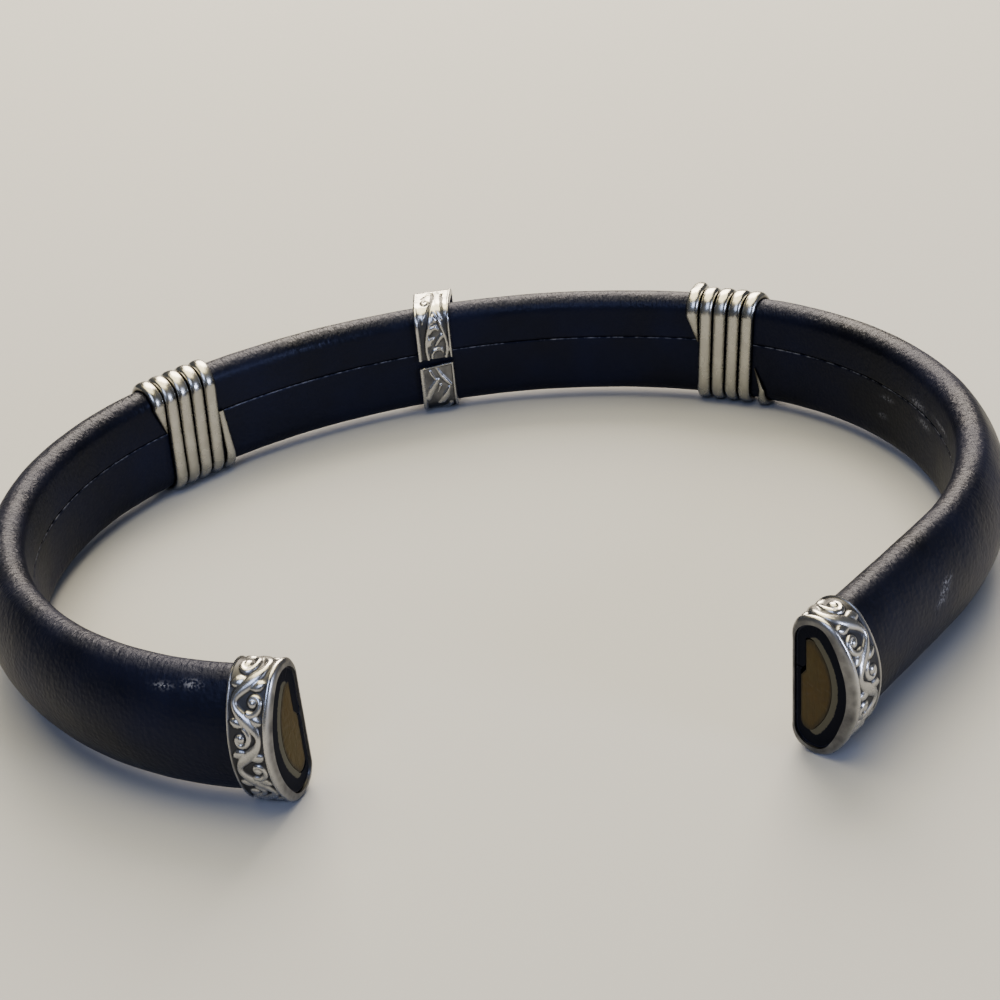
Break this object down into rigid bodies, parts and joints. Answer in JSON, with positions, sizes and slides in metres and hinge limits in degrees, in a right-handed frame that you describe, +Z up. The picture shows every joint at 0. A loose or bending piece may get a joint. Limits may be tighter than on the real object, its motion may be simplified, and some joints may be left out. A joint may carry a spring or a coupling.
{
  "type": "cuff bracelet",
  "caption": "Open cuff bracelet: a domed band of wrapped leather with relief silver end sleeves, a slit silver ring at the back and half-round silver wire wound round each side.",
  "frame": {"origin": "under the middle of the cuff, on the surface it rests on", "axes": "+X to the right along the cuff's greatest width, seen from the side of the mouth; +Y away from the mouth, towards the middle of the back; +Z up across the width of the band"},
  "size_m": [0.0658, 0.0526, 0.0089],
  "materials": {
    "black_leather": "blue-black dyed leather, fine pebble grain, satin",
    "undyed_leather": "undyed cut leather, matte",
    "silver": "polished silver with darkened hollows"
  },
  "bodies": {
    "root": {"leather_wrap": "black_leather", "leather_core": "undyed_leather", "end_sleeve_left": "silver", "end_sleeve_right": "silver", "centre_ring": "silver", "wire_wrap_left": "silver", "wire_wrap_right": "silver"}
  },
  "joints": []
}
